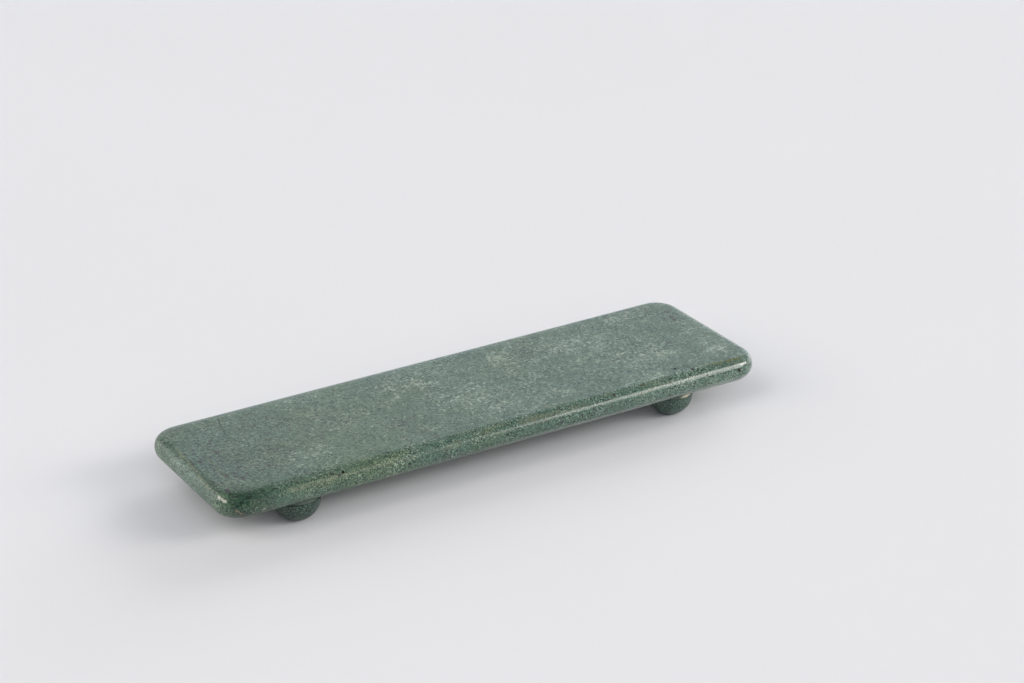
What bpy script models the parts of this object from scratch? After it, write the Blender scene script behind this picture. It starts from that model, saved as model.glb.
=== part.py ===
"""A marble tray: a long rounded slab of green marble that stands on four half-ball feet.

The slab is sawn from stock and its rim is ground by hand, so the rim's round is broad at the left end of the long
sides and tightens towards the right. Each foot is half a turned marble ball with its bottom ground flat, bonded
under the slab with a thin bed of stone adhesive.

X runs along the tray, Y across it and Z up. The origin is on the table, under the middle of the slab.
"""

import math

import bmesh
import bpy

# The slab's driving dimensions, in metres
TRAY_LENGTH = 0.400
TRAY_WIDTH = 0.118
SLAB_THICKNESS = 0.0176
CORNER_RADIUS = 0.0188

# How far the rim's round reaches in over the flat faces: at the left and right end of the long sides, and
# along the two short ends. It spans the slab's whole thickness.
RIM_REACH_LEFT = 0.0108
RIM_REACH_RIGHT = 0.0076
RIM_REACH_END = 0.0080

# The feet: half balls with a short straight collar at the sawn top, a broken arris there, and a flat to stand on
FOOT_RADIUS = 0.01525
FOOT_COLLAR = 0.0008
FOOT_ARRIS = 0.0004
FOOT_FLAT_RADIUS = 0.0045

# Where the feet's middles stand, measured in from the slab's two ends and from its long sides
FOOT_INSET_LEFT = 0.0566
FOOT_INSET_RIGHT = 0.0632
FOOT_INSET_SIDE = 0.0191

# The adhesive beds: discs that stop short of the foot's edge, with a bead squeezed out all round
BOND_THICKNESS = 0.0004
BOND_SETBACK = 0.0010
BOND_BEAD = 0.0002

# Bonded faces keep this distance, so that no two solids share a face
SEAT_GAP = 0.0003
WELD_DISTANCE = 0.00001

# The rim's round and the corners may take this much of what they are cut from
RIM_SHARE = 0.9
CORNER_SHARE = 0.95

# Fineness of the curves, as numbers of steps
CORNER_STEPS = 12
SIDE_STEPS = 12
END_STEPS = 4
RIM_STEPS = 9
BALL_STEPS = 10
TURN_STEPS = 36

MARBLE_COLOUR = (0.100, 0.158, 0.125, 1.0)
FOOT_COLOUR = (0.085, 0.140, 0.112, 1.0)
BOND_COLOUR = (0.480, 0.370, 0.220, 1.0)
POLISHED_ROUGHNESS = 0.28
FOOT_ROUGHNESS = 0.42
BOND_ROUGHNESS = 0.60

# Sizes that follow from the ones above
FOOT_HEIGHT = FOOT_COLLAR + math.sqrt(FOOT_RADIUS ** 2 - FOOT_FLAT_RADIUS ** 2)
BOND_BOTTOM = FOOT_HEIGHT + SEAT_GAP
SLAB_BOTTOM = BOND_BOTTOM + BOND_THICKNESS + SEAT_GAP
SLAB_MIDDLE = SLAB_BOTTOM + SLAB_THICKNESS / 2
PLAN_RADIUS = min(CORNER_RADIUS, CORNER_SHARE * TRAY_WIDTH / 2)
FOOT_PLACES = {
    "front_left": (FOOT_INSET_LEFT - TRAY_LENGTH / 2, FOOT_INSET_SIDE - TRAY_WIDTH / 2),
    "front_right": (TRAY_LENGTH / 2 - FOOT_INSET_RIGHT, FOOT_INSET_SIDE - TRAY_WIDTH / 2),
    "back_left": (FOOT_INSET_LEFT - TRAY_LENGTH / 2, TRAY_WIDTH / 2 - FOOT_INSET_SIDE),
    "back_right": (TRAY_LENGTH / 2 - FOOT_INSET_RIGHT, TRAY_WIDTH / 2 - FOOT_INSET_SIDE),
}


def clear_scene():
    """Removes every object that the file opened with."""
    for thing in list(bpy.data.objects):
        bpy.data.objects.remove(thing)


def finish(name, colour, roughness):
    """A plain Principled material in the piece's own colour."""
    material = bpy.data.materials.new(name)
    material.use_nodes = True
    shader = material.node_tree.nodes["Principled BSDF"]
    shader.inputs["Base Color"].default_value = colour
    shader.inputs["Roughness"].default_value = roughness
    shader.inputs["Metallic"].default_value = 0.0
    material.diffuse_color = colour
    return material


def place(name, mesh, material, collection, parent, location):
    """Puts a mesh into the scene as a named piece."""
    piece = bpy.data.objects.new(name, mesh)
    collection.objects.link(piece)
    piece.parent = parent
    piece.location = location
    if not mesh.materials:
        mesh.materials.append(material)
    return piece


def slab_outline():
    """Points of the slab's plan with their outward directions, anticlockwise from the right end of the front."""
    middle_x = TRAY_LENGTH / 2 - PLAN_RADIUS
    middle_y = TRAY_WIDTH / 2 - PLAN_RADIUS
    corners = ((middle_x, -middle_y), (middle_x, middle_y), (-middle_x, middle_y), (-middle_x, -middle_y))
    outline = []
    for quarter, (x, y) in enumerate(corners):
        for step in range(CORNER_STEPS + 1):
            turn = math.pi / 2 * (quarter - 1 + step / CORNER_STEPS)
            out = (math.cos(turn), math.sin(turn))
            outline.append((x + PLAN_RADIUS * out[0], y + PLAN_RADIUS * out[1], out))
        run_steps = SIDE_STEPS if quarter % 2 else END_STEPS
        next_x, next_y = corners[(quarter + 1) % len(corners)]
        for step in range(1, run_steps):
            along = step / run_steps
            outline.append((
                x + (next_x - x) * along + PLAN_RADIUS * out[0],
                y + (next_y - y) * along + PLAN_RADIUS * out[1],
                out,
            ))
    return outline


def rim_reach(x, out):
    """Width of the rim's round at a point of the plan that faces the given way."""
    along = x / TRAY_LENGTH + 1 / 2
    side_reach = RIM_REACH_LEFT + (RIM_REACH_RIGHT - RIM_REACH_LEFT) * along
    reach = RIM_REACH_END + (side_reach - RIM_REACH_END) * out[1] ** 2
    return min(reach, RIM_SHARE * PLAN_RADIUS)


def slab_mesh():
    """The slab's upper half, open at its middle plane: a sheet wrapped round the plan and up over the rim."""
    outline = slab_outline()
    count = len(outline)
    sheet = bmesh.new()
    bmesh.ops.create_grid(sheet, x_segments=count, y_segments=RIM_STEPS, size=1)
    for point in sheet.verts:
        around = round((point.co.x + 1) / 2 * count) % count
        climb = round((point.co.y + 1) / 2 * RIM_STEPS) / RIM_STEPS
        x, y, out = outline[around]
        lift = math.sin(math.pi / 2 * climb)
        inward = rim_reach(x, out) * (1 - math.cos(math.pi / 2 * climb))
        point.co = (x - inward * out[0], y - inward * out[1], SLAB_THICKNESS / 2 * lift)
    bmesh.ops.remove_doubles(sheet, verts=sheet.verts, dist=WELD_DISTANCE)
    top_edges = [edge for edge in sheet.edges
                 if edge.is_boundary and min(end.co.z for end in edge.verts) > SLAB_THICKNESS / 4]
    bmesh.ops.contextual_create(sheet, geom=top_edges)
    bmesh.ops.recalc_face_normals(sheet, faces=sheet.faces)
    mesh = bpy.data.meshes.new("tray_slab")
    sheet.to_mesh(mesh)
    sheet.free()
    mesh.shade_smooth()
    return mesh


def mirror_down(piece):
    """Adds the lower half of a piece that is modelled above its own middle plane."""
    mirror = piece.modifiers.new("lower_half", "MIRROR")
    mirror.use_axis = (False, False, True)
    mirror.merge_threshold = WELD_DISTANCE


def foot_profile():
    """A foot's turned outline: radius and height, from the axis at the top round to the axis at the bottom."""
    ball_middle = FOOT_HEIGHT - FOOT_COLLAR
    last_turn = math.acos(FOOT_FLAT_RADIUS / FOOT_RADIUS)
    profile = [(0, FOOT_HEIGHT), (FOOT_RADIUS - FOOT_ARRIS, FOOT_HEIGHT), (FOOT_RADIUS, FOOT_HEIGHT - FOOT_ARRIS)]
    for step in range(BALL_STEPS):
        turn = last_turn * step / BALL_STEPS
        profile.append((FOOT_RADIUS * math.cos(turn), ball_middle - FOOT_RADIUS * math.sin(turn)))
    profile += [(FOOT_FLAT_RADIUS, 0), (0, 0)]
    return profile


def bond_profile():
    """A bed's turned outline, with its squeezed-out bead halfway up."""
    edge = FOOT_RADIUS - BOND_SETBACK
    return [(0, BOND_THICKNESS), (edge, BOND_THICKNESS), (edge + BOND_BEAD, BOND_THICKNESS / 2), (edge, 0), (0, 0)]


def profile_mesh(name, profile):
    """One open line of radius and height, ready to be turned about the axis."""
    mesh = bpy.data.meshes.new(name)
    ends = range(len(profile) - 1)
    mesh.from_pydata([(radius, 0, height) for radius, height in profile], [(end, end + 1) for end in ends], [])
    return mesh


def turn_round(piece):
    """Turns a piece's outline all the way round its upright axis."""
    screw = piece.modifiers.new("turned", "SCREW")
    screw.axis = "Z"
    screw.angle = math.tau
    screw.steps = TURN_STEPS
    screw.render_steps = TURN_STEPS
    screw.use_merge_vertices = True
    screw.merge_threshold = WELD_DISTANCE
    screw.use_smooth_shade = True


def build_tray():
    """Builds the slab, then a foot and its adhesive bed at each of the four places."""
    clear_scene()
    collection = bpy.data.collections.new("marble_tray")
    bpy.context.scene.collection.children.link(collection)
    tray = bpy.data.objects.new("tray_origin", None)
    collection.objects.link(tray)

    marble = finish("polished_marble", MARBLE_COLOUR, POLISHED_ROUGHNESS)
    slab = place("tray_slab", slab_mesh(), marble, collection, tray, (0, 0, SLAB_MIDDLE))
    mirror_down(slab)

    foot_stone = finish("foot_marble", FOOT_COLOUR, FOOT_ROUGHNESS)
    adhesive = finish("stone_adhesive", BOND_COLOUR, BOND_ROUGHNESS)
    foot_mesh = profile_mesh("foot", foot_profile())
    bond_mesh = profile_mesh("bond", bond_profile())
    for where, (x, y) in FOOT_PLACES.items():
        turn_round(place("foot_" + where, foot_mesh, foot_stone, collection, tray, (x, y, 0)))
        turn_round(place("bond_" + where, bond_mesh, adhesive, collection, tray, (x, y, BOND_BOTTOM)))


build_tray()
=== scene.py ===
"""Looks of the marble tray: a long green marble slab on four half-ball feet, in a pale photo studio.

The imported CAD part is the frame. Each piece below takes its place and size from the node that it stands for.
"""

import math

import bmesh
import bpy
from mathutils import Matrix, Vector, noise


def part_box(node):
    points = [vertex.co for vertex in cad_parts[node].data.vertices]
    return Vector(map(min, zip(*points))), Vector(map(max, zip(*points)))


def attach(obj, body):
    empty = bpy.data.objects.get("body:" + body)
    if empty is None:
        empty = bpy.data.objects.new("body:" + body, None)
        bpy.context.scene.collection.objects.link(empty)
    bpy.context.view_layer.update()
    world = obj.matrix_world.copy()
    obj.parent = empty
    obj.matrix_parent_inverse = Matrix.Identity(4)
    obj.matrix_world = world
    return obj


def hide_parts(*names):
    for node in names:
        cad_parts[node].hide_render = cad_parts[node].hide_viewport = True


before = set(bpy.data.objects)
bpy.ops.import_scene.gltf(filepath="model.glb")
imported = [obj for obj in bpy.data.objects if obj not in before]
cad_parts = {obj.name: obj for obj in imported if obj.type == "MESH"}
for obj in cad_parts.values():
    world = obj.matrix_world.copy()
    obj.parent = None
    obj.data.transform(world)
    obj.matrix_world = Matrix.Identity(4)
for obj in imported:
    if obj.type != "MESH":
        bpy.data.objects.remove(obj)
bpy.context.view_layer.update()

# The camera: a studio camera with a long lens, a little above the tray and beyond its near left corner, so
# that the tray runs up across the picture from the lower left. The lens and the sensor are in millimetres.
VIEW_AZIMUTH = math.radians(-31.717)
VIEW_ELEVATION = math.radians(24.722)
VIEW_DISTANCE = 1.6452
VIEW_SLIDE_RIGHT = 0.03176
VIEW_SLIDE_UP = 0.03968
VIEW_AIM = Vector((0, 0, 0.02517))
VIEW_LIMIT = 60
LENS_LENGTH = 88.49
SENSOR_WIDTH = 36

camera_right = Vector((math.cos(VIEW_AZIMUTH), math.sin(VIEW_AZIMUTH), 0))
camera_back = Vector((
    math.sin(VIEW_AZIMUTH) * math.cos(VIEW_ELEVATION),
    -math.cos(VIEW_AZIMUTH) * math.cos(VIEW_ELEVATION),
    math.sin(VIEW_ELEVATION),
))
camera_up = camera_back.cross(camera_right)
camera_place = (
    VIEW_AIM + camera_back * VIEW_DISTANCE + camera_right * VIEW_SLIDE_RIGHT + camera_up * VIEW_SLIDE_UP
)
bpy.ops.object.camera_add()
camera = bpy.context.object
camera.name = "studio_camera"
camera.data.lens = LENS_LENGTH
camera.data.sensor_width = SENSOR_WIDTH
camera.data.clip_end = VIEW_LIMIT
camera.matrix_world = Matrix.Translation(camera_place) @ Matrix(
    (camera_right, camera_up, camera_back)
).transposed().to_4x4()
bpy.context.scene.camera = camera

# The studio: the tray stands on matt pale grey board in a dark room, and wide screens light it softly. The
# wall beyond it glows and shows in the polished top, and a soft box and three lamps at the right draw the
# highlight along the rim. Azimuths are in degrees, from the tray's right end round by its far side.
FLOOR_SIZE = 24
FLOOR_GREY = (0.712, 0.707, 0.710, 1)
FLOOR_ROUGHNESS = 0.85
FLOOR_SHINE = 0.15
ROOM_BASE = (0.020, 0.022, 0.034)
# The pale band low at the right: its strength, and where it starts and is full, as sines of the elevation
HORIZON_GLOW = 0.45
HORIZON_TOP = 0.22
HORIZON_BOTTOM = 0.04
# Round glows: azimuth, elevation, the radius of the even middle and of the whole in degrees, and colour
GLOWS = (
    ("wall_beyond", 60, 5, 28, 57, (0.82, 0.91, 0.985)),
    ("wall_left", 160, 34, 5, 40, (0.34, 0.33, 0.31)),
    ("wall_right", 5, 14, 5, 32, (0.34, 0.35, 0.40)),
    ("window_far_left", 127, 8, 4, 26, (1.75, 1.77, 1.80)),
    ("ceiling_right", -10, 62, 5, 34, (0.21, 0.20, 0.20)),
    ("lamp_near", -40, 26, 2, 9, (6.9, 6.6, 6.3)),
    ("lamp_middle", -30, 21, 2, 9, (5.8, 5.6, 5.3)),
    ("lamp_far", -21, 16, 2, 8, (4.6, 4.4, 4.2)),
)
# Soft boxes: azimuth, elevation, width and height in metres, and power
BOX_DISTANCE = 8.0
BOX_COLOUR = (1.02, 1.0, 0.97)
BOXES = (
    ("soft_box_right", -47.5, 24, (2.3, 4.2), 88),
    ("soft_box_left", 158, 24, (2.4, 2.0), 36),
)
# Screens: azimuth, elevation, width in degrees, strength and colour
SCREENS = (
    ("key_screen", 262, 38, 50, 0.96, (0.95, 0.965, 1.06)),
    ("left_screen", 182, 36, 46, 0.90, (1.02, 1.0, 0.97)),
    ("top_screen", 195, 60, 40, 0.48, (0.98, 1.0, 1.03)),
    ("right_screen", 318, 30, 30, 0.66, (1.005, 0.993, 0.98)),
    ("low_screen", 31, 15, 34, 1.80, (1.0, 1.0, 1.0)),
)


def add_node(tree, kind, inputs=(), **settings):
    """Adds a node with its settings, and sets or links the inputs that are given by name or number."""
    node = tree.nodes.new(kind)
    for name, value in settings.items():
        setattr(node, name, value)
    for key, value in dict(inputs).items():
        if isinstance(value, bpy.types.NodeSocket):
            tree.links.new(value, node.inputs[key])
        else:
            node.inputs[key].default_value = value
    return node


def map_range(tree, value, low, high, to_low=0.0, to_high=1.0, smooth=True):
    """Maps a value from one range to another, smoothly or in a straight line, and stops at the ends."""
    return add_node(tree, "ShaderNodeMapRange", {
        "Value": value, "From Min": low, "From Max": high, "To Min": to_low, "To Max": to_high,
    }, interpolation_type="SMOOTHSTEP" if smooth else "LINEAR").outputs["Result"]


def mix_colours(tree, factor, a, b, kind="MIX"):
    """Mixes two colours, or multiplies them."""
    return add_node(tree, "ShaderNodeMix", {"Factor": factor, "A": a, "B": b},
                    data_type="RGBA", blend_type=kind).outputs["Result"]


def heading(azimuth, elevation):
    """The direction from the tray to a place in the room."""
    azimuth, elevation = math.radians(azimuth), math.radians(elevation)
    return Vector((
        math.cos(azimuth) * math.cos(elevation),
        math.sin(azimuth) * math.cos(elevation),
        math.sin(elevation),
    ))


bpy.ops.mesh.primitive_plane_add(size=FLOOR_SIZE, location=(0, 0, 0))
floor = bpy.context.object
floor.name = "studio_board"
board_paper = bpy.data.materials.new("pale_board")
board_paper.use_nodes = True
tree = board_paper.node_tree
place = add_node(tree, "ShaderNodeTexCoord").outputs["Object"]
blotches = add_node(tree, "ShaderNodeTexNoise", {"Vector": place, "Scale": 2.2, "Detail": 2.0}).outputs["Fac"]
board_shade = map_range(tree, blotches, 0.3, 0.7, 0.992, 1.008, smooth=False)
board_shader = tree.nodes["Principled BSDF"]
tree.links.new(mix_colours(tree, 1.0, FLOOR_GREY, board_shade, "MULTIPLY"), board_shader.inputs["Base Color"])
board_shader.inputs["Roughness"].default_value = FLOOR_ROUGHNESS
board_shader.inputs["Specular IOR Level"].default_value = FLOOR_SHINE
floor.data.materials.append(board_paper)

room = bpy.data.worlds.new("white_room")
bpy.context.scene.world = room
room.use_nodes = True
tree = room.node_tree
direction = add_node(tree, "ShaderNodeTexCoord").outputs["Generated"]
light = ROOM_BASE
for glow_name, azimuth, elevation, inner, outer, glow_colour in GLOWS:
    nearness = add_node(tree, "ShaderNodeVectorMath", {0: direction, 1: heading(azimuth, elevation)},
                        operation="DOT_PRODUCT").outputs["Value"]
    glow = map_range(tree, nearness, math.cos(math.radians(outer)), math.cos(math.radians(inner)))
    light = add_node(tree, "ShaderNodeVectorMath", {0: glow, 1: glow_colour, 2: light},
                     name=glow_name, operation="MULTIPLY_ADD").outputs["Vector"]
parts = add_node(tree, "ShaderNodeSeparateXYZ", {"Vector": direction})
low = map_range(tree, parts.outputs["Z"], HORIZON_TOP, HORIZON_BOTTOM, 0.0, HORIZON_GLOW)
rightward = map_range(tree, parts.outputs["X"], -0.2, 0.4, smooth=False)
light = add_node(tree, "ShaderNodeVectorMath", {0: low, 1: rightward, 2: light}, operation="MULTIPLY_ADD")
tree.links.new(light.outputs["Vector"], tree.nodes["Background"].inputs["Color"])

for box_name, azimuth, elevation, box_size, power in BOXES:
    towards = heading(azimuth, elevation)
    bpy.ops.object.light_add(type="AREA", location=towards * BOX_DISTANCE)
    soft_box = bpy.context.object
    soft_box.name = box_name
    soft_box.data.shape = "RECTANGLE"
    soft_box.data.size, soft_box.data.size_y = box_size
    soft_box.data.energy = power
    soft_box.data.color = BOX_COLOUR
    soft_box.rotation_euler = towards.to_track_quat("Z", "Y").to_euler()
    soft_box.visible_camera = False

# The screens stand far away, and they are too wide and even to show as reflections.
for screen_name, azimuth, elevation, width, strength, colour in SCREENS:
    bpy.ops.object.light_add(type="SUN")
    screen = bpy.context.object
    screen.name = screen_name
    screen.data.energy = strength
    screen.data.color = colour
    screen.data.angle = math.radians(width)
    screen.rotation_euler = (0, math.radians(90 - elevation), math.radians(azimuth))
    screen.visible_glossy = False

bpy.context.scene.view_settings.view_transform = "Standard"

# The slab: one block of green marble, sawn from stock, with its plan corners and its whole rim ground round
# by hand and polished with the top. The rim's round is broad at the left end and tightens to the right.
slab_low, slab_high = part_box("tray_slab")
slab_size = slab_high - slab_low
slab_middle = (slab_high + slab_low) / 2
half_thick = slab_size.z / 2
PLAN_RADIUS = 0.0188
PLAN_STEPS = 18
LONG_CUTS = 47
END_CUTS = 9
RIM_STEPS = 14
# How far the rim's round reaches in over the top: at the two ends of the long sides, and along the short ends
REACH_LEFT = 0.0108
REACH_RIGHT = 0.0076
REACH_END = 0.0080
# The top falls a little towards the rim, over loops of these widths
CROWN_LOOPS = (0.0012, 0.0014, 0.0016, 0.0020, 0.0024)
CROWN_DROP_LEFT = 0.00026
CROWN_DROP_RIGHT = 0.00014
# How much the fallen part of the top counts as ground rim, where it meets the round
CROWN_WEIGHT = 0.25
# The hand's unevenness in the rim, all of it inwards, so that the slab stays in its box
HAND_WAVE = 0.00012
HAND_WAVE_BIAS = 1.2
HAND_WAVE_LENGTH = 0.045


def select_where(domain, test):
    """Selects what passes the test in the piece that is being edited, and nothing else."""
    bpy.ops.mesh.select_mode(type=domain)
    bpy.ops.mesh.select_all(action="DESELECT")
    mesh = bmesh.from_edit_mesh(bpy.context.object.data)
    for element in {"VERT": mesh.verts, "EDGE": mesh.edges, "FACE": mesh.faces}[domain]:
        if test(element):
            element.select_set(True)
    bmesh.update_edit_mesh(bpy.context.object.data)


def edge_along(edge, axis):
    """The edge's length if it runs along the axis, or else zero."""
    run = edge.verts[1].co - edge.verts[0].co
    return abs(run[axis]) if abs(run[axis]) > 0.99 * run.length else 0


def is_end_edge(edge):
    """Whether the edge runs across one of the slab's two ends."""
    return edge_along(edge, 1) > slab_size.y / 2 and abs(edge.verts[0].co.x) > slab_size.x / 2.01


bpy.ops.object.select_all(action="DESELECT")
bpy.ops.mesh.primitive_cube_add(size=1, location=slab_middle, scale=slab_size)
slab = bpy.context.object
slab.name = "marble_slab"
bpy.ops.object.transform_apply(location=True, rotation=True, scale=True)
bpy.ops.object.mode_set(mode="EDIT")
select_where("EDGE", lambda edge: edge_along(edge, 2))
bpy.ops.mesh.bevel(offset=PLAN_RADIUS, segments=PLAN_STEPS, profile=0.5, affect="EDGES")
select_where("EDGE", lambda edge: edge_along(edge, 0) > slab_size.x / 2)
bpy.ops.mesh.subdivide(number_cuts=LONG_CUTS)
select_where("EDGE", is_end_edge)
bpy.ops.mesh.subdivide(number_cuts=END_CUTS)
select_where("FACE", lambda face: abs(face.normal.z) > 0.99)
bpy.ops.mesh.dissolve_faces()

# The rounds from above and from below stop a hair short of each other, and are then welded.
select_where("EDGE", lambda edge: edge.calc_face_angle() > 1)
round_offset = half_thick * 0.999
bpy.ops.mesh.bevel(offset=round_offset, segments=RIM_STEPS, profile=0.5, affect="EDGES", clamp_overlap=False)
bpy.ops.mesh.select_all(action="SELECT")
bpy.ops.mesh.remove_doubles(threshold=half_thick * 0.005)
for loop_step in CROWN_LOOPS:
    select_where("FACE", lambda face: len(face.verts) > 8)
    bpy.ops.mesh.inset(thickness=loop_step)
bpy.ops.object.mode_set(mode="OBJECT")


def rim_place(x, y):
    """How far a point of the plan lies in from the slab's edge, and which way is out there."""
    side_x = abs(x) - (slab_size.x / 2 - PLAN_RADIUS)
    side_y = abs(y) - (slab_size.y / 2 - PLAN_RADIUS)
    if side_x > 0 and side_y > 0:
        out = Vector((math.copysign(side_x, x), math.copysign(side_y, y))).normalized()
        return PLAN_RADIUS - math.hypot(side_x, side_y), out
    if side_x > side_y:
        return PLAN_RADIUS - side_x, Vector((math.copysign(1, x), 0))
    return PLAN_RADIUS - side_y, Vector((0, math.copysign(1, y)))


def share_along(x):
    """Zero at the slab's left end and one at its right end."""
    return x / slab_size.x + 0.5


def rim_reach(x, out):
    """Width of the rim's round at a place on the plan."""
    side_reach = REACH_LEFT + (REACH_RIGHT - REACH_LEFT) * share_along(x)
    return REACH_END + (side_reach - REACH_END) * out.y ** 2


# The even round is drawn to its real width, with the crown's fall and the hand's waves. Two weights mark the
# ground rim and the sawn underside for the stone's finish.
crown_width = sum(CROWN_LOOPS)
rim_weight = slab.data.attributes.new("rim", "FLOAT", "POINT")
sawn_weight = slab.data.attributes.new("sawn", "FLOAT", "POINT")
for point in slab.data.vertices:
    x, y, z = point.co
    inward, out = rim_place(x, y)
    height = (z - slab_middle.z) / half_thick
    reach = rim_reach(x, out)
    roll = min(inward / half_thick, 1)
    crown = max(0, 1 - max(0, inward - half_thick) / crown_width) ** 2
    new_inward = reach * roll + max(0, inward - half_thick)
    wave = noise.noise(Vector((x, y, z)) / HAND_WAVE_LENGTH)
    wave += 0.5 * noise.noise(Vector((y, z, x)) / HAND_WAVE_LENGTH * 2.3)
    pull = HAND_WAVE * (wave + HAND_WAVE_BIAS) * (1 - roll)
    drop = (CROWN_DROP_LEFT + (CROWN_DROP_RIGHT - CROWN_DROP_LEFT) * share_along(x)) * crown * height
    shift = out * (inward - new_inward - pull)
    point.co = (x + shift.x, y + shift.y, z - drop)
    rim_weight.data[point.index].value = 1 - roll * (1 - CROWN_WEIGHT * crown)
    sawn_weight.data[point.index].value = roll if height < 0 else 0
slab.data.shade_smooth()

# The stone: green marble with clouds of pale crystals, swarms of dark flecks, streaks, a clear vein and pits.
# It is a node group that gives colour, roughness and height, because the feet are cut from the same stone.
# Its marks are placed in metres, in the tray's own space. Some of its colour is painted light: a glint, part
# of the rim's highlight, dark reflection at the near left corner, shade in the pits, and light on the left
# end's face.

# Clouds of pale crystals in the top and in the rim, and swarms of dark flecks: X, Y, radius and strength
PALE_CLOUDS = (
    (-0.128, -0.030, 0.020, 1.0), (0.006, -0.020, 0.026, 0.9), (0.050, 0.028, 0.018, 0.8),
    (0.112, -0.047, 0.018, 0.9), (0.180, -0.036, 0.010, 0.8), (0.134, -0.014, 0.022, 0.5),
    (0.088, 0.016, 0.030, 0.4), (-0.020, 0.036, 0.024, 0.5), (-0.098, 0.046, 0.022, 0.4),
    (0.149, 0.040, 0.016, 0.4), (0.124, -0.046, 0.005, 1.0), (0.097, -0.050, 0.004, 1.0),
)
RIM_CLOUDS = (
    (-0.160, -0.0615, 0.008, 0.8), (-0.148, -0.0615, 0.008, 0.8), (-0.085, -0.0620, 0.008, 0.7),
    (0.160, -0.0600, 0.006, 0.9),
)
DARK_SWARMS = (
    (-0.170, 0.030, 0.040, 0.8), (-0.165, -0.018, 0.040, 0.9), (-0.125, 0.015, 0.035, 0.7),
    (-0.094, -0.004, 0.024, 0.6), (-0.057, -0.018, 0.010, 0.9), (0.180, 0.021, 0.010, 1.0),
    (0.070, 0.030, 0.024, 0.5), (0.030, -0.006, 0.022, 0.4),
)
# Painted dark reflection at the near left corner, darkening the ground: X, Y, radius and by how much it is
# darker
DARK_REFLECTION_PATCHES = ((-0.185, -0.0545, 0.013, 0.26), (-0.168, -0.0575, 0.012, 0.12))
# The largest plum-coloured flecks in the top: X, Y and radius
PLUM_FLECKS = (
    (0.1821, 0.0243, 0.0023), (0.1810, 0.0191, 0.0023), (0.1853, 0.0324, 0.0016),
    (-0.0579, -0.0122, 0.0018), (-0.1555, -0.0285, 0.0022), (-0.1934, 0.0131, 0.0018),
    (-0.1766, -0.0350, 0.0026), (-0.1796, -0.0316, 0.0022), (-0.1837, -0.0276, 0.0025),
    (-0.1911, -0.0442, 0.0026), (-0.1897, -0.0021, 0.0021), (-0.1756, 0.0033, 0.0022),
    (-0.1394, 0.0248, 0.0016), (-0.1446, 0.0314, 0.0015), (-0.1620, -0.0317, 0.0015),
    (-0.1245, -0.0122, 0.0015), (-0.1106, -0.0127, 0.0015), (-0.0844, 0.0177, 0.0015),
    (-0.1865, -0.0166, 0.0016), (-0.1328, 0.0425, 0.0014), (0.1721, -0.0277, 0.0012),
    (0.0813, -0.0552, 0.0012),
)
# The largest pits: X, Y and Z
PITS = (
    (0.1796, -0.0587, 0.0274), (0.1800, -0.0587, 0.0268), (0.1457, -0.0520, 0.0339),
    (0.1360, -0.0462, 0.0340), (-0.1190, -0.0559, 0.0315),
)
PIT_RADIUS = 0.0014
# Streaks and chips, some of them painted light as marked below: their two ends, half width, strength and
# colour
# A tan for the stone's streaks, also used for painted highlight
TAN_AND_HIGHLIGHT = (0.245, 0.270, 0.160)
OLIVE = (0.120, 0.125, 0.040)
CREAM = (0.420, 0.430, 0.330)
DEEP_DARK_REFLECTION = (0.016, 0.036, 0.022)
STREAKS = (
    # The next two: tan along the left of the front rim's highlight, partly the stone's tan and partly painted
    # highlight
    ((-0.1560, -0.0574, 0.0296), (-0.1250, -0.0572, 0.0302), 0.0024, 0.38, TAN_AND_HIGHLIGHT),
    ((-0.1210, -0.0574, 0.0296), (-0.1080, -0.0570, 0.0305), 0.0020, 0.50, TAN_AND_HIGHLIGHT),
    ((0.0100, -0.0560, 0.0312), (0.0560, -0.0562, 0.0312), 0.0034, 0.40, (0.200, 0.200, 0.130)),
    # Partly the stone's tan and partly painted highlight along the front rim
    ((-0.1060, -0.0572, 0.0301), (-0.0796, -0.0571, 0.0303), 0.0016, 0.35, TAN_AND_HIGHLIGHT),
    ((-0.1941, 0.0235, 0.0336), (-0.1977, -0.0313, 0.0313), 0.0022, 0.60, TAN_AND_HIGHLIGHT),
    ((-0.1830, 0.0048, 0.0340), (-0.1851, -0.0374, 0.0340), 0.0015, 0.8, (0.062, 0.074, 0.028)),
    # A painted glint at the left end near the corner, over a pale vein
    ((-0.1976, -0.0430, 0.0309), (-0.1958, -0.0496, 0.0298), 0.0015, 1.0, (0.560, 0.570, 0.460)),
    ((-0.1918, -0.0557, 0.0251), (-0.1886, -0.0571, 0.0228), 0.0009, 0.8, (0.360, 0.260, 0.140)),
    ((-0.1752, -0.0586, 0.0226), (-0.1738, -0.0586, 0.0233), 0.0012, 1.0, CREAM),
    ((0.1528, -0.0511, 0.0339), (0.1840, -0.0540, 0.0333), 0.0016, 0.85, OLIVE),
    ((0.0300, -0.0491, 0.0340), (0.0540, -0.0506, 0.0340), 0.0010, 0.7, OLIVE),
    ((0.1025, -0.0541, 0.0331), (0.1182, -0.0545, 0.0330), 0.0009, 0.6, OLIVE),
    # The next two: painted dark reflection at the near left corner, a dark line and a dark green patch over
    # the stone's own green
    ((-0.1906, -0.0551, 0.0293), (-0.1850, -0.0560, 0.0308), 0.0008, 0.9, DEEP_DARK_REFLECTION),
    ((-0.1890, -0.0545, 0.0300), (-0.1700, -0.0565, 0.0315), 0.0080, 0.60, (0.014, 0.050, 0.030)),
    ((-0.1790, -0.0530, 0.0325), (-0.1640, -0.0548, 0.0322), 0.0010, 0.8, (0.012, 0.022, 0.014)),
    # Painted dark reflection: a dark line across the near left corner
    ((-0.1904, -0.0559, 0.0282), (-0.1811, -0.0550, 0.0320), 0.0017, 1.0, (0.008, 0.018, 0.011)),
    ((-0.1911, -0.0140, 0.0339), (-0.1966, -0.0365, 0.0322), 0.0012, 0.6, (0.050, 0.066, 0.026)),
)
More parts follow.
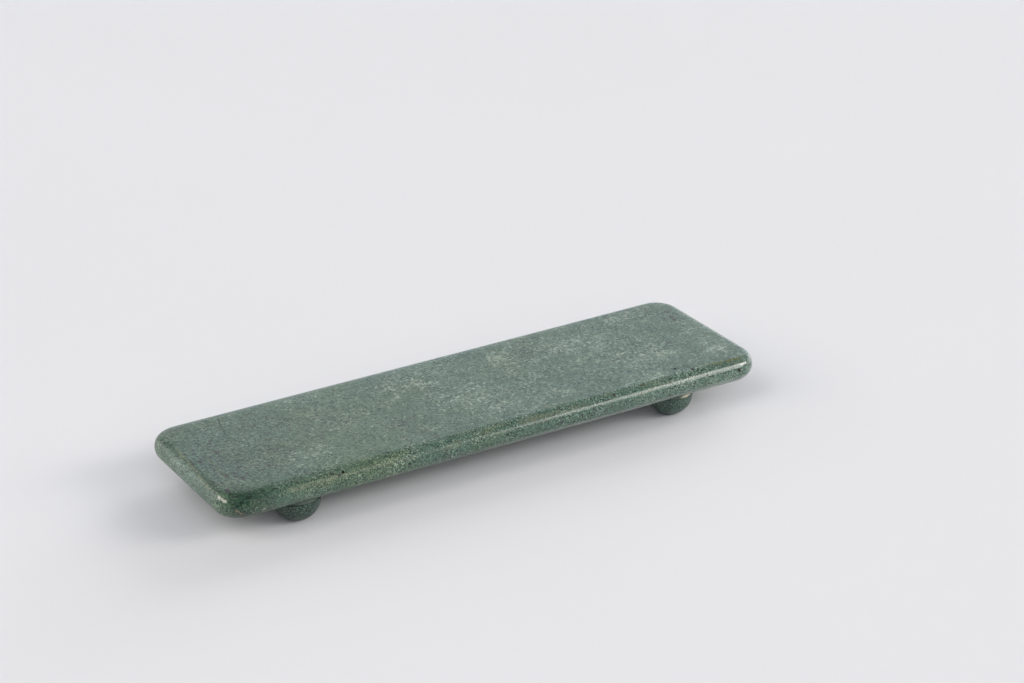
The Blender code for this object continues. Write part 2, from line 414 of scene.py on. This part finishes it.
# The one clear vein, across the left end of the top: where it crosses, which way it runs, and how far it bows
VEIN_MIDDLE = (-0.1575, 0.035, 0.034)
VEIN_TURN = -104
VEIN_HALF_LENGTH = 0.0150
VEIN_BOW = 5.0
# Layers of finer and coarser grain over the main one: scale, shift, and strength in the top and in the rim
GRAIN_LAYERS = ((420, 5.3, 0.60, 0.22), (120, 3.1, 0.50, 0.18), (1350, 21.3, 0.0, 2.1))
# The grain's contrast, the shade that it opens about, a lift, and the shade above which grain is calmed
GRAIN_CONTRAST = 1.85
MIDDLE_SHADE = 0.46
GRAIN_LIFT = 0.035
PALE_SHADE = 0.55
# The stone's colours from its darkest grain to its palest, each with its shade
STONE_SHADES = (
    (0.10, (0.010, 0.024, 0.016)), (0.30, (0.036, 0.074, 0.048)), (0.50, (0.084, 0.134, 0.093)),
    (0.68, (0.148, 0.205, 0.150)), (0.92, (0.390, 0.440, 0.340)),
)
WARM_TINT = (1.02, 1.0, 0.87, 1)
COOL_TINT = (0.98, 1.01, 1.03, 1)
RIM_TINT = (0.90, 1.02, 1.0, 1)
CRYSTAL_COLOUR = (0.310, 0.370, 0.275, 1)
FLECK_COLOUR = (0.020, 0.026, 0.022, 1)
PURPLE_COLOUR = (0.036, 0.026, 0.036, 1)
PLUM_COLOUR = (0.032, 0.018, 0.028, 1)
STAIN_COLOUR = (0.165, 0.165, 0.072, 1)
VEIN_COLOUR = (0.022, 0.026, 0.028, 1)
PIT_SHADE_COLOUR = (0.010, 0.008, 0.008, 1)
SAWN_COLOUR = (0.200, 0.240, 0.215, 1)

marble = bpy.data.node_groups.new("green_marble", "ShaderNodeTree")
marble.interface.new_socket("Vector", in_out="INPUT", socket_type="NodeSocketVector")
for socket_name, default in (("Rim", 0.0), ("Sawn", 0.0), ("Polish", 0.3), ("Contrast", 1.0)):
    socket = marble.interface.new_socket(socket_name, in_out="INPUT", socket_type="NodeSocketFloat")
    socket.default_value = default
socket = marble.interface.new_socket("Tone_And_Shade", in_out="INPUT", socket_type="NodeSocketColor")
socket.default_value = (1, 1, 1, 1)
marble.interface.new_socket("Color", in_out="OUTPUT", socket_type="NodeSocketColor")
marble.interface.new_socket("Roughness", in_out="OUTPUT", socket_type="NodeSocketFloat")
marble.interface.new_socket("Height", in_out="OUTPUT", socket_type="NodeSocketFloat")
given = marble.nodes.new("NodeGroupInput").outputs
in_stone = given["Vector"]
in_rim = given["Rim"]


def maths(operation, a, b=0.0, c=0.0, clamp=False):
    """A sum on values in the stone."""
    return add_node(marble, "ShaderNodeMath", {0: a, 1: b, 2: c},
                    operation=operation, use_clamp=clamp).outputs["Value"]


def vector_maths(operation, a, b, c=(0, 0, 0)):
    """A sum on places in the stone, as its two outputs, a vector and a value."""
    return add_node(marble, "ShaderNodeVectorMath", {0: a, 1: b, 2: c}, operation=operation).outputs


def ramp(value, low, high, to_low=0.0, to_high=1.0):
    """Maps a value in the stone smoothly from one range to another."""
    return map_range(marble, value, low, high, to_low, to_high)


def blend(factor, a, b, kind="MIX"):
    """Mixes or multiplies two of the stone's colours."""
    return mix_colours(marble, factor, a, b, kind)


def mottle(scale, detail=2.0, roughness=0.5, longer=1.0, turn=0.0, shift=0.0):
    """A noise field in the stone, whose marks may be drawn out along a turned line."""
    vector = add_node(marble, "ShaderNodeMapping", {
        "Vector": in_stone, "Location": (-shift, -shift * 0.7, -shift * 1.3),
        "Rotation": (0, 0, math.radians(turn)), "Scale": (longer, 1, 1),
    }, vector_type="TEXTURE").outputs["Vector"]
    return add_node(marble, "ShaderNodeTexNoise", {
        "Vector": vector, "Scale": scale, "Detail": detail, "Roughness": roughness,
    }).outputs["Fac"]


def gathered(field, spots):
    """A field that is raised round the given places of the plan."""
    for x, y, radius, strength in spots:
        away = vector_maths("DISTANCE", plan, (x, y, 0))["Value"]
        field = maths("ADD", field, ramp(away, 0, radius * 1.4, strength, 0))
    return field


plan = vector_maths("MULTIPLY", in_stone, (1, 1, 0))["Vector"]
place_parts = add_node(marble, "ShaderNodeSeparateXYZ", {"Vector": in_stone}).outputs
along = place_parts["X"]

# The ground: dark and pale green grain, paler in its clouds and towards the right of the rim. The left end's
# face has painted light, and the near left corner painted dark reflection. Its contrast comes and goes over
# the slab, and the palest grain is calmed, most of all at the left.
clouds = gathered(ramp(mottle(30, 3, 0.6, shift=7.9), 0.40, 0.68, 0.0, 0.6), PALE_CLOUDS)
clouds = gathered(maths("MULTIPLY", clouds, ramp(in_rim, 0.1, 0.7, 1.0, 0.3)), RIM_CLOUDS)
brighter_right = maths("MULTIPLY", in_rim, ramp(along, 0.0, 0.12, -0.03, 0.055))
grain = mottle(900, 3, 0.8, longer=1.3, turn=-32, shift=1.7)
shade = maths("MULTIPLY_ADD", grain, GRAIN_CONTRAST, MIDDLE_SHADE - GRAIN_CONTRAST * 0.5)
for scale, shift, top_strength, rim_strength in GRAIN_LAYERS:
    layer = maths("SUBTRACT", mottle(scale, 3, 0.6, shift=shift), 0.5)
    shade = maths("MULTIPLY_ADD", layer, ramp(in_rim, 0.0, 0.6, top_strength, rim_strength), shade)
# Painted light on the left end's face, for the light from the left and from the board
shade = maths("ADD", shade, ramp(along, -0.1998, -0.1930, 0.16, 0.0))
# Painted dark reflection at the near left corner
shade = maths("SUBTRACT", shade, gathered(0.0, DARK_REFLECTION_PATCHES))
shade = maths("ADD", shade, GRAIN_LIFT)
shade = maths("ADD", maths("MULTIPLY_ADD", clouds, 0.06, shade), brighter_right)
lively = maths("ADD", mottle(55, 3, 0.6, shift=11.3), maths("MULTIPLY", clouds, 0.08))
lively = maths("MULTIPLY", ramp(lively, 0.38, 0.66, 0.70, 1.35), given["Contrast"])
shade = maths("MULTIPLY_ADD", maths("SUBTRACT", shade, MIDDLE_SHADE), lively, MIDDLE_SHADE)
excess = maths("MAXIMUM", maths("SUBTRACT", shade, PALE_SHADE), 0.0)
calm = maths("MULTIPLY", ramp(along, -0.14, 0.0, 0.55, 0.25), ramp(in_rim, 0.1, 0.6, 1.0, 0.5))
shade = maths("SUBTRACT", shade, maths("MULTIPLY", excess, calm))
shades = add_node(marble, "ShaderNodeValToRGB", {"Fac": shade})
while len(shades.color_ramp.elements) < len(STONE_SHADES):
    shades.color_ramp.elements.new(0.5)
for element, (position, shade_colour) in zip(shades.color_ramp.elements, STONE_SHADES):
    element.position = position
    element.color = (*shade_colour, 1)
coolness = maths("ADD", mottle(14, 3, 0.6), ramp(along, -0.14, -0.04, -0.07, 0.05))
tint = blend(ramp(coolness, 0.36, 0.62), WARM_TINT, COOL_TINT)
colour = blend(1.0, shades.outputs["Color"], tint, "MULTIPLY")
colour = blend(in_rim, colour, blend(1.0, colour, RIM_TINT, "MULTIPLY"))

# Pale crystals, about a millimetre across, sparse all over and dense in their clouds
crystals = maths("ADD", mottle(420, 3, 0.55, shift=2.2), maths("MULTIPLY", clouds, 0.100))
crystals = maths("ADD", crystals, ramp(along, -0.16, -0.06, -0.035, 0.0))
pale = ramp(crystals, 0.63, 0.71)
colour = blend(maths("MULTIPLY", pale, ramp(in_rim, 0.1, 0.7, 0.8, 0.6)), colour, CRYSTAL_COLOUR)

# Dark flecks, most of them to the left, with larger purplish ones among them, and the largest, which are plum
swarms = gathered(ramp(mottle(26, 3, 0.6, shift=9.4), 0.42, 0.68, 0.0, 0.6), DARK_SWARMS)
flecks = mottle(700, 3, 0.65, longer=1.3, turn=-30, shift=4.6)
flecks = maths("ADD", flecks, maths("MULTIPLY", swarms, 0.050))
colour = blend(ramp(flecks, 0.595, 0.645, 0.0, 0.95), colour, FLECK_COLOUR)
flecks = mottle(420, 2, 0.5, longer=1.5, turn=-26, shift=13.1)
flecks = maths("ADD", flecks, maths("MULTIPLY", swarms, 0.045))
colour = blend(ramp(flecks, 0.66, 0.69, 0.0, 0.8), colour, PURPLE_COLOUR)
uneven = mottle(420, 3, 0.7, shift=17.0)
ragged = maths("MULTIPLY_ADD", uneven, 3.0, -0.5)
for x, y, radius in PLUM_FLECKS:
    away = maths("MULTIPLY", vector_maths("DISTANCE", plan, (x, y, 0))["Value"], ragged)
    colour = blend(ramp(away, radius * 0.3, radius, 0.9, 0), colour, PLUM_COLOUR)

# Olive and tan stain, which shows as short streaks where the rim is ground through the grain
stain = ramp(mottle(260, 4, 0.65, longer=4.5, shift=6.2), 0.50, 0.68)
upper = ramp(place_parts["Z"], 0.0245, 0.0295, 0.06, 1.0)
stain = maths("MULTIPLY", maths("MULTIPLY", stain, upper), ramp(in_rim, 0.0, 0.5, 0.10, 0.24))
stain = maths("MULTIPLY", stain, ramp(along, -0.19, -0.15, 0.4, 1.0))
colour = blend(stain, colour, STAIN_COLOUR)

# The streaks and chips that stand out, ragged at their edges, with a painted glint, painted highlight and
# painted dark reflection among them
ragged = maths("MULTIPLY_ADD", uneven, 3.0, -0.4)
broken = ramp(mottle(480, 3, 0.6, longer=1.4, shift=23.0), 0.40, 0.58, 0.1, 1.0)
for start, end, half_width, strength, streak_colour in STREAKS:
    run = Vector(end) - Vector(start)
    gone = vector_maths("SUBTRACT", in_stone, start)["Vector"]
    share = vector_maths("DOT_PRODUCT", gone, run / run.length_squared)["Value"]
    nearest = vector_maths("MULTIPLY_ADD", maths("ADD", share, 0.0, clamp=True), run, start)["Vector"]
    away = maths("MULTIPLY", vector_maths("DISTANCE", in_stone, nearest)["Value"], ragged)
    seen = ramp(away, half_width * 0.2, half_width, strength, 0)
    colour = blend(maths("MULTIPLY", seen, broken), colour, (*streak_colour, 1))

# The clear vein, bowed and wandering, and hairlines that are broken into short lengths
vein_place = add_node(marble, "ShaderNodeMapping", {
    "Vector": in_stone, "Location": VEIN_MIDDLE, "Rotation": (0, 0, math.radians(VEIN_TURN)),
}, vector_type="TEXTURE").outputs["Vector"]
vein_parts = add_node(marble, "ShaderNodeSeparateXYZ", {"Vector": vein_place}).outputs
lengthways = maths("MULTIPLY_ADD", mottle(90, 2, shift=8.8), 0.004, maths("ADD", vein_parts["X"], -0.002))
across = maths("MULTIPLY_ADD", mottle(160, 3, shift=2.9), 0.0022, maths("ADD", vein_parts["Y"], -0.0011))
bow = maths("MULTIPLY", maths("MULTIPLY", lengthways, lengthways), VEIN_BOW)
vein = ramp(maths("ABSOLUTE", maths("SUBTRACT", across, bow)), 0.0003, 0.0010, 1, 0)
ends = ramp(maths("ABSOLUTE", lengthways), VEIN_HALF_LENGTH * 0.7, VEIN_HALF_LENGTH, 1.0, 0)
frayed = ramp(mottle(700, 2, 0.6, shift=31.0), 0.38, 0.56, 0.4, 1.0)
vein = maths("MULTIPLY", maths("MULTIPLY", vein, ends), frayed)
wander = maths("ABSOLUTE", maths("SUBTRACT", mottle(13, 4, 0.6, shift=12.4), 0.5))
lengths = ramp(mottle(30, 2, shift=15.1), 0.54, 0.62, 0, 0.5)
hairline = maths("MULTIPLY", ramp(wander, 0.0, 0.005, 1, 0), lengths)
colour = blend(maths("MAXIMUM", vein, hairline), colour, VEIN_COLOUR)

# Pits where a soft grain was plucked out: a few large ones and a scatter of pinholes, painted dark as shade in
# their hollows
cells = add_node(marble, "ShaderNodeTexVoronoi", {"Vector": in_stone, "Scale": 110}).outputs
lone = add_node(marble, "ShaderNodeSeparateColor", {"Color": cells["Color"]}).outputs["Red"]
pits = maths("MULTIPLY", ramp(cells["Distance"], 0.04, 0.08, 1, 0), ramp(lone, 0.90, 0.91))
for spot in PITS:
    away = vector_maths("DISTANCE", in_stone, spot)["Value"]
    pits = maths("MAXIMUM", pits, ramp(away, PIT_RADIUS * 0.5, PIT_RADIUS, 1, 0))
# Painted shade in the pits
colour = blend(pits, colour, PIT_SHADE_COLOUR)

# The sawn underside isn't polished, so it stays pale and dusty.
colour = blend(maths("MULTIPLY", given["Sawn"], 0.30), colour, SAWN_COLOUR)
# The tone, which for the feet also holds painted shade
colour = blend(1.0, colour, given["Tone_And_Shade"], "MULTIPLY")

# The roughness is the given polish, a little uneven with the grain, and much more in the pits and where it is
# sawn. The crystals stand a little proud, the pits are sunk, and the polished face undulates.
worn = maths("MULTIPLY_ADD", maths("SUBTRACT", grain, 0.5), 0.04, given["Polish"])
rough = maths("ADD", worn, maths("MULTIPLY", given["Sawn"], 0.3))
rough = maths("ADD", rough, maths("MULTIPLY", pits, 0.7))
relief = maths("SUBTRACT", maths("MULTIPLY", pale, 0.05), maths("MULTIPLY", pits, 1.0))
relief = maths("ADD", relief, maths("MULTIPLY", mottle(36, 2, shift=20.0), 0.4))
add_node(marble, "NodeGroupOutput", {"Color": colour, "Roughness": rough, "Height": relief})

# The slab's finish: the top is satin, and the rim is glossier towards the right, where a band of it is waxed
# and draws the highlight. The rim's weight climbs from 0 on the flat top to 1 at the slab's edge.
STONE_IOR = 1.56
RELIEF_DEPTH = 0.0001
TOP_ROUGHNESS = 0.40
RIM_ROUGHNESS = 0.14
RIM_ROUGHNESS_LEFT = 0.36
WAX_ROUGHNESS = 0.18
TOP_CONTRAST = 1.02
RIM_CONTRAST = 0.88
SLAB_TONE = (1.015, 0.992, 1.025, 1)


def marble_material(name, roughness, tone_and_shade, contrast):
    """A Principled material in the green marble, ground all over as the rim is."""
    material = bpy.data.materials.new(name)
    material.use_nodes = True
    tree = material.node_tree
    place = add_node(tree, "ShaderNodeTexCoord").outputs["Object"]
    stone = add_node(tree, "ShaderNodeGroup", {
        "Vector": place, "Rim": 1.0, "Polish": roughness, "Tone_And_Shade": tone_and_shade, "Contrast": contrast,
    }, node_tree=marble, name="stone")
    bump = add_node(tree, "ShaderNodeBump", {
        "Height": stone.outputs["Height"], "Strength": 1.0, "Distance": RELIEF_DEPTH,
    })
    shader = tree.nodes["Principled BSDF"]
    shader.inputs["IOR"].default_value = STONE_IOR
    tree.links.new(stone.outputs["Color"], shader.inputs["Base Color"])
    tree.links.new(stone.outputs["Roughness"], shader.inputs["Roughness"])
    tree.links.new(bump.outputs["Normal"], shader.inputs["Normal"])
    return material


slab_marble = marble_material("polished_marble", RIM_ROUGHNESS, SLAB_TONE, TOP_CONTRAST)
tree = slab_marble.node_tree
stone = tree.nodes["stone"]
shader = tree.nodes["Principled BSDF"]
rim_mark = add_node(tree, "ShaderNodeAttribute", attribute_name="rim").outputs["Fac"]
sawn_mark = add_node(tree, "ShaderNodeAttribute", attribute_name="sawn").outputs["Fac"]
place = add_node(tree, "ShaderNodeTexCoord").outputs["Object"]
slab_along = add_node(tree, "ShaderNodeSeparateXYZ", {"Vector": place}).outputs["X"]
rim_roughness = map_range(tree, slab_along, -0.12, 0.18, RIM_ROUGHNESS_LEFT, RIM_ROUGHNESS, smooth=False)
slab_roughness = map_range(tree, rim_mark, 0.10, 0.30, TOP_ROUGHNESS, rim_roughness, smooth=False)
slab_contrast = map_range(tree, rim_mark, 0.0, 1.0, TOP_CONTRAST, RIM_CONTRAST, smooth=False)
waxed_right = map_range(tree, slab_along, -0.10, 0.05, smooth=False)
wax = map_range(tree, rim_mark, 0.70, 0.79, 0.0, waxed_right)
wax = map_range(tree, rim_mark, 0.91, 0.97, wax, 0.0)
tree.links.new(rim_mark, stone.inputs["Rim"])
tree.links.new(sawn_mark, stone.inputs["Sawn"])
tree.links.new(slab_roughness, stone.inputs["Polish"])
tree.links.new(slab_contrast, stone.inputs["Contrast"])
tree.links.new(wax, shader.inputs["Coat Weight"])
shader.inputs["Coat Roughness"].default_value = WAX_ROUGHNESS
shader.inputs["Coat IOR"].default_value = STONE_IOR
slab.data.materials.append(slab_marble)
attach(slab, "root")
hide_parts("tray_slab")

# The feet: four half balls turned from the same marble, sawn flat on top, with the bottom ground flat to
# stand on. Their colour is darker than the slab's, a darker stone with painted shade from the slab above,
# and they are finished less finely.
FOOT_COLLAR = 0.0008
FOOT_ARRIS = 0.0004
FOOT_NODES = ("foot_front_left", "foot_front_right", "foot_back_left", "foot_back_right")
FOOT_ROUGHNESS = 0.38
# The feet's tone: darker stone with painted shade from the slab above
FOOT_TONE_AND_SHADE = (0.295, 0.395, 0.405, 1)
FOOT_CONTRAST = 2.2
SAME_HEIGHT = 0.000001
foot_low, foot_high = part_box(FOOT_NODES[0])
foot_radius = (foot_high.x - foot_low.x) / 2
foot_middle = Vector((
    (foot_low.x + foot_high.x) / 2,
    (foot_low.y + foot_high.y) / 2,
    foot_high.z - FOOT_COLLAR,
))


def is_sawn_edge(edge):
    """Whether the edge runs round the foot's sawn top."""
    return min(end.co.z for end in edge.verts) > foot_high.z - SAME_HEIGHT and edge.calc_face_angle() > 1


bpy.ops.object.select_all(action="DESELECT")
bpy.ops.mesh.primitive_uv_sphere_add(segments=72, ring_count=36, radius=foot_radius, location=foot_middle)
foot = bpy.context.object
bpy.ops.object.transform_apply(location=True, rotation=True, scale=True)
bpy.ops.object.mode_set(mode="EDIT")
bpy.ops.mesh.select_all(action="SELECT")
bpy.ops.mesh.bisect(plane_co=foot_middle, plane_no=(0, 0, 1), use_fill=True, clear_outer=True)
bpy.ops.mesh.select_all(action="SELECT")
bpy.ops.mesh.bisect(plane_co=(0, 0, foot_low.z), plane_no=(0, 0, 1), use_fill=True, clear_inner=True)
select_where("FACE", lambda face: face.normal.z > 0.99)
bpy.ops.mesh.extrude_region_move(TRANSFORM_OT_translate={"value": (0, 0, FOOT_COLLAR)})
select_where("EDGE", is_sawn_edge)
bpy.ops.mesh.bevel(offset=FOOT_ARRIS, segments=3, profile=0.6, affect="EDGES")
bpy.ops.object.mode_set(mode="OBJECT")
foot.data.shade_smooth()
foot.data.materials.append(marble_material("foot_marble", FOOT_ROUGHNESS, FOOT_TONE_AND_SHADE, FOOT_CONTRAST))

feet = {}
for node in FOOT_NODES:
    low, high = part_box(node)
    piece = foot if node == FOOT_NODES[0] else foot.copy()
    if piece is not foot:
        piece.data = foot.data.copy()
        bpy.context.scene.collection.objects.link(piece)
    piece.name = node.replace("foot_", "half_ball_")
    feet[piece] = (low + high) / 2 - (foot_low + foot_high) / 2
for piece, shift in feet.items():
    piece.data.transform(Matrix.Translation(shift))
    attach(piece, "root")
    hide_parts(piece.name.replace("half_ball_", "foot_"))

# The adhesive beds: a thin layer of tan stone adhesive between each foot and the slab, squeezed out to the
# foot's edge. Green stone dust with painted shade from the slab covers it, but for the right half of the
# right-hand beds, which shows the tan as lit.
BED_COLOUR = (0.80, 0.74, 0.56, 1)
SPECKLE_COLOUR = (0.42, 0.37, 0.26, 1)
# The green of the dust and the painted shade on the beds
DUST_AND_SHADE_COLOUR = (0.085, 0.115, 0.088, 1)
BED_ROUGHNESS = 0.45
# Where the beds turn from painted shade with dust to clean, lit tan, along X
CLEAN_LIT_FROM = 0.1350
CLEAN_LIT_TO = 0.1400
BED_SETBACK = 0.0006
BED_RINGS = 4
BED_CUTS = 3
# The bed's edge swells and shrinks round the foot, and is hollow between the foot and the slab
SQUEEZE = 0.0003
SQUEEZE_LENGTH = 0.006
HOLLOW = 0.0004
bed_bottom = foot_high.z
edge_radius = foot_radius - BED_SETBACK


def underside(x, y):
    """Height of the slab's underside over a place on the table."""
    inward, out = rim_place(x, y)
    climb = max(0, 1 - inward / rim_reach(x, out))
    return slab_middle.z - half_thick * math.sqrt(1 - min(climb, 1) ** 2)


adhesive = bpy.data.materials.new("stone_adhesive")
adhesive.use_nodes = True
tree = adhesive.node_tree
place = add_node(tree, "ShaderNodeTexCoord").outputs["Object"]
dust = add_node(tree, "ShaderNodeTexNoise", {"Vector": place, "Scale": 700, "Detail": 3.0}).outputs["Fac"]
bed_along = add_node(tree, "ShaderNodeSeparateXYZ", {"Vector": place}).outputs["X"]
clean_and_lit = map_range(tree, bed_along, CLEAN_LIT_FROM, CLEAN_LIT_TO, smooth=False)
speckled = mix_colours(tree, dust, BED_COLOUR, SPECKLE_COLOUR)
bumps = add_node(tree, "ShaderNodeBump", {"Height": dust, "Strength": 0.6, "Distance": RELIEF_DEPTH})
shader = tree.nodes["Principled BSDF"]
# Painted shade with dust where the beds are not clean and lit
tree.links.new(mix_colours(tree, clean_and_lit, DUST_AND_SHADE_COLOUR, speckled), shader.inputs["Base Color"])
tree.links.new(bumps.outputs["Normal"], shader.inputs["Normal"])
shader.inputs["Roughness"].default_value = BED_ROUGHNESS

for foot_node in FOOT_NODES:
    low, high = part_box(foot_node)
    middle = (low + high) / 2
    bed_place = (middle.x, middle.y, 0.5)
    bpy.ops.object.select_all(action="DESELECT")
    bpy.ops.mesh.primitive_cylinder_add(vertices=72, radius=edge_radius, depth=1, location=bed_place)
    bed = bpy.context.object
    bed.name = foot_node.replace("foot_", "adhesive_")
    bpy.ops.object.transform_apply(location=True, rotation=True, scale=True)
    bpy.ops.object.mode_set(mode="EDIT")
    select_where("EDGE", lambda edge: edge_along(edge, 2))
    bpy.ops.mesh.subdivide(number_cuts=BED_CUTS)
    for ring in range(BED_RINGS):
        select_where("FACE", lambda face: len(face.verts) > 8)
        bpy.ops.mesh.inset(thickness=edge_radius / (BED_RINGS + 2))
    bpy.ops.object.mode_set(mode="OBJECT")
    for point in bed.data.vertices:
        x, y, rise = point.co
        around = Vector((x - middle.x, y - middle.y))
        outer = around.length > edge_radius * 0.99
        squeeze = SQUEEZE * noise.noise(Vector((x, y, 0)) / SQUEEZE_LENGTH) if outer else 0
        hollow = HOLLOW * math.sin(math.pi * rise) if outer else 0
        around = around.normalized() * (around.length + squeeze - hollow)
        x, y = middle.x + around.x, middle.y + around.y
        point.co = (x, y, bed_bottom + rise * (underside(x, y) - bed_bottom))
    bed.data.shade_smooth()
    bed.data.materials.append(adhesive)
    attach(bed, "root")
    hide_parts(foot_node.replace("foot_", "bond_"))
